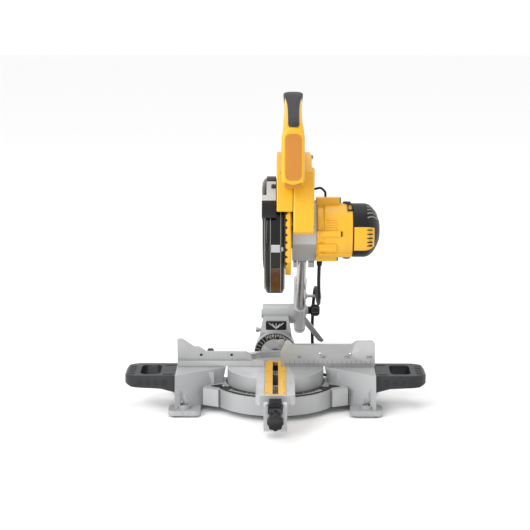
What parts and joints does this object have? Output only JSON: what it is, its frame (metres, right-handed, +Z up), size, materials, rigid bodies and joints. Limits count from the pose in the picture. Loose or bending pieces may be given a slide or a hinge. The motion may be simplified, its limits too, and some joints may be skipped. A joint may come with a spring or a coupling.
{
  "type": "sliding compound mitre saw",
  "caption": "Corded sliding compound mitre saw: turntable base with carry handles and fences, tilting arm, twin rails, hinged head with guarded blade, motor and D-handle.",
  "frame": {"origin": "middle of the four bench-bolt holes on the plane the feet stand on; also the turntable axis", "axes": "+Z up, +X to the operator's right, -Y towards the operator"},
  "size_m": [0.626, 0.645, 0.6783],
  "materials": {
    "cast_alloy": "matte bead-blasted casting",
    "machined_alloy": "machined face",
    "yellow_plastic": "bright warm yellow moulding",
    "black_plastic": "fine textured black moulding",
    "slate_plastic": "dark slate moulding",
    "soft_grip": "soft grey overmould",
    "black_rubber": "matte rubber",
    "chrome": "polished rail",
    "steel": "turned or zinc plated steel",
    "blade_steel": "ground disc with carbide tips",
    "scale_black": "dark stamped plate with light marks",
    "guard_smoke": "dark guard moulding with a lighter rim",
    "copper_core": "wound core",
    "cord_black": "round mains cord"
  },
  "bodies": {
    "base": {"base_casting": "cast_alloy", "left_carry_handle": "slate_plastic", "right_carry_handle": "slate_plastic", "rubber_feet": "black_rubber", "mitre_scale_plate": "scale_black", "fence_casting": "machined_alloy", "fence_bolts": "steel", "turntable_bolt": "steel", "cord_to_coil": "cord_black", "cord_coil": "cord_black", "plug": "black_plastic"},
    "left_fence_body": {"left_fence": "machined_alloy"},
    "fence_knob_body": {"fence_clamp_knob": "black_plastic"},
    "turntable": {"turntable_casting": "cast_alloy", "kerf_plate": "yellow_plastic", "kerf_plate_screws": "steel", "mitre_pointer": "steel", "bevel_scale": "scale_black", "bevel_pivot_bolt": "steel"},
    "mitre_knob_body": {"mitre_lock_knob": "black_plastic", "mitre_lock_rod": "steel"},
    "latch_body": {"mitre_latch": "black_plastic"},
    "bevel_arm": {"bevel_arm_casting": "cast_alloy", "return_spring": "steel", "pivot_bushes": "steel", "cord_at_arm": "cord_black"},
    "bevel_lever_body": {"bevel_lock_lever": "cast_alloy"},
    "lock_pin_body": {"lock_down_pin": "steel"},
    "carriage": {"rail_carriage": "cast_alloy", "linear_bearings": "steel", "chop_pivot_shaft": "steel", "carriage_clamp_bolt": "steel", "cord_guide": "steel", "cord_at_carriage": "cord_black"},
    "rail_knob_body": {"rail_lock_knob": "black_plastic"},
    "head": {"lower_rail": "chrome", "upper_rail": "chrome", "rail_end_bracket": "cast_alloy", "gear_case": "cast_alloy", "upper_blade_guard": "yellow_plastic", "left_handle_shell": "yellow_plastic", "right_handle_shell": "yellow_plastic", "grip_overmould": "soft_grip", "guard_bracket": "black_plastic", "brush_caps": "black_plastic", "motor_housing": "yellow_plastic", "motor_end_cap": "black_plastic", "stator": "copper_core", "strain_relief": "black_rubber", "lead_loop": "cord_black", "cord_from_head": "cord_black"},
    "blade_body": {"saw_blade": "blade_steel", "spindle": "steel", "blade_flanges": "steel", "arbor_bolt": "steel"},
    "armature_body": {"armature": "copper_core"},
    "lower_guard_body": {"lower_guard": "guard_smoke"},
    "trigger_body": {"trigger": "black_plastic"},
    "lock_off_body": {"lock_off_button": "black_plastic"},
    "spindle_lock_body": {"spindle_lock_button": "black_plastic"}
  },
  "joints": [
    {"name": "mitre_swivel", "type": "hinge", "parent": "base", "child": "turntable", "pos_m": [0, 0, 0.08], "axis": [0, 0, 1], "range_deg": [-50, 50], "deforming": ["cord_to_coil"]},
    {"name": "left_fence_slide", "type": "slide", "parent": "base", "child": "left_fence_body", "axis": [-1, 0, 0], "range_m": [0, 0.06]},
    {"name": "fence_clamp_turn", "type": "hinge", "parent": "left_fence_body", "child": "fence_knob_body", "pos_m": [-0.138, 0.03, 0.101], "axis": [0, 1, 0], "range_deg": [0, 180]},
    {"name": "mitre_lock_turn", "type": "hinge", "parent": "turntable", "child": "mitre_knob_body", "pos_m": [0, -0.28, 0.049], "axis": [0, -1, 0], "range_deg": [-180, 0]},
    {"name": "mitre_latch_press", "type": "slide", "parent": "turntable", "child": "latch_body", "axis": [0, 0, -1], "range_m": [0, 0.005], "stiffness_N_per_m": 600, "springref_m": -0.005},
    {"name": "bevel_tilt", "type": "hinge", "parent": "turntable", "child": "bevel_arm", "pos_m": [0, 0.142, 0.08], "axis": [0, -1, 0], "range_deg": [0, 48], "deforming": ["cord_at_arm"]},
    {"name": "bevel_lock_turn", "type": "hinge", "parent": "bevel_arm", "child": "bevel_lever_body", "pos_m": [0, 0.182, 0.08], "axis": [0, -1, 0], "range_deg": [0, 40]},
    {"name": "lock_pin_pull", "type": "slide", "parent": "bevel_arm", "child": "lock_pin_body", "axis": [-1, 0, 0], "range_m": [0, 0.01]},
    {"name": "chop", "type": "hinge", "parent": "bevel_arm", "child": "carriage", "pos_m": [0, 0.18, 0.152], "axis": [1, 0, 0], "range_deg": [0, 36], "stiffness_Nm_per_rad": 26, "springref_deg": -63.03, "deforming": ["cord_at_carriage"]},
    {"name": "rail_lock_turn", "type": "hinge", "parent": "carriage", "child": "rail_knob_body", "pos_m": [0.088, 0.13713, 0.16955], "axis": [1, 0, 0], "range_deg": [-90, 90]},
    {"name": "head_slide", "type": "slide", "parent": "carriage", "child": "head", "axis": [0, 0.809, -0.5878], "range_m": [0, 0.15], "deforming": ["cord_from_head"]},
    {"name": "blade_spin", "type": "hinge", "parent": "head", "child": "blade_body", "pos_m": [0, -0.07816, 0.37171], "axis": [1, 0, 0], "continuous": true},
    {"name": "armature_spin", "type": "hinge", "parent": "head", "child": "armature_body", "pos_m": [0, -0.11508, 0.39235], "axis": [1, 0, 0], "continuous": true},
    {"name": "guard_swing", "type": "hinge", "parent": "head", "child": "lower_guard_body", "pos_m": [0, -0.07816, 0.37171], "axis": [-1, 0, 0], "range_deg": [0, 150.1]},
    {"name": "trigger_pull", "type": "hinge", "parent": "head", "child": "trigger_body", "pos_m": [0.034, -0.14471, 0.61782], "axis": [-1, 0, 0], "range_deg": [0, 10], "stiffness_Nm_per_rad": 0.6, "springref_deg": -14.32},
    {"name": "lock_off_press", "type": "slide", "parent": "head", "child": "lock_off_body", "axis": [0, -0.9404, -0.3401], "range_m": [0, 0.003], "stiffness_N_per_m": 500, "springref_m": -0.004},
    {"name": "spindle_lock_press", "type": "slide", "parent": "head", "child": "spindle_lock_body", "axis": [0, -0.5878, -0.809], "range_m": [0, 0.004], "stiffness_N_per_m": 500, "springref_m": -0.004}
  ],
  "couplings": [
    {"joint": "armature_spin", "follows": "blade_spin", "ratio": -3},
    {"joint": "guard_swing", "follows": "chop", "ratio": 4.1667}
  ]
}
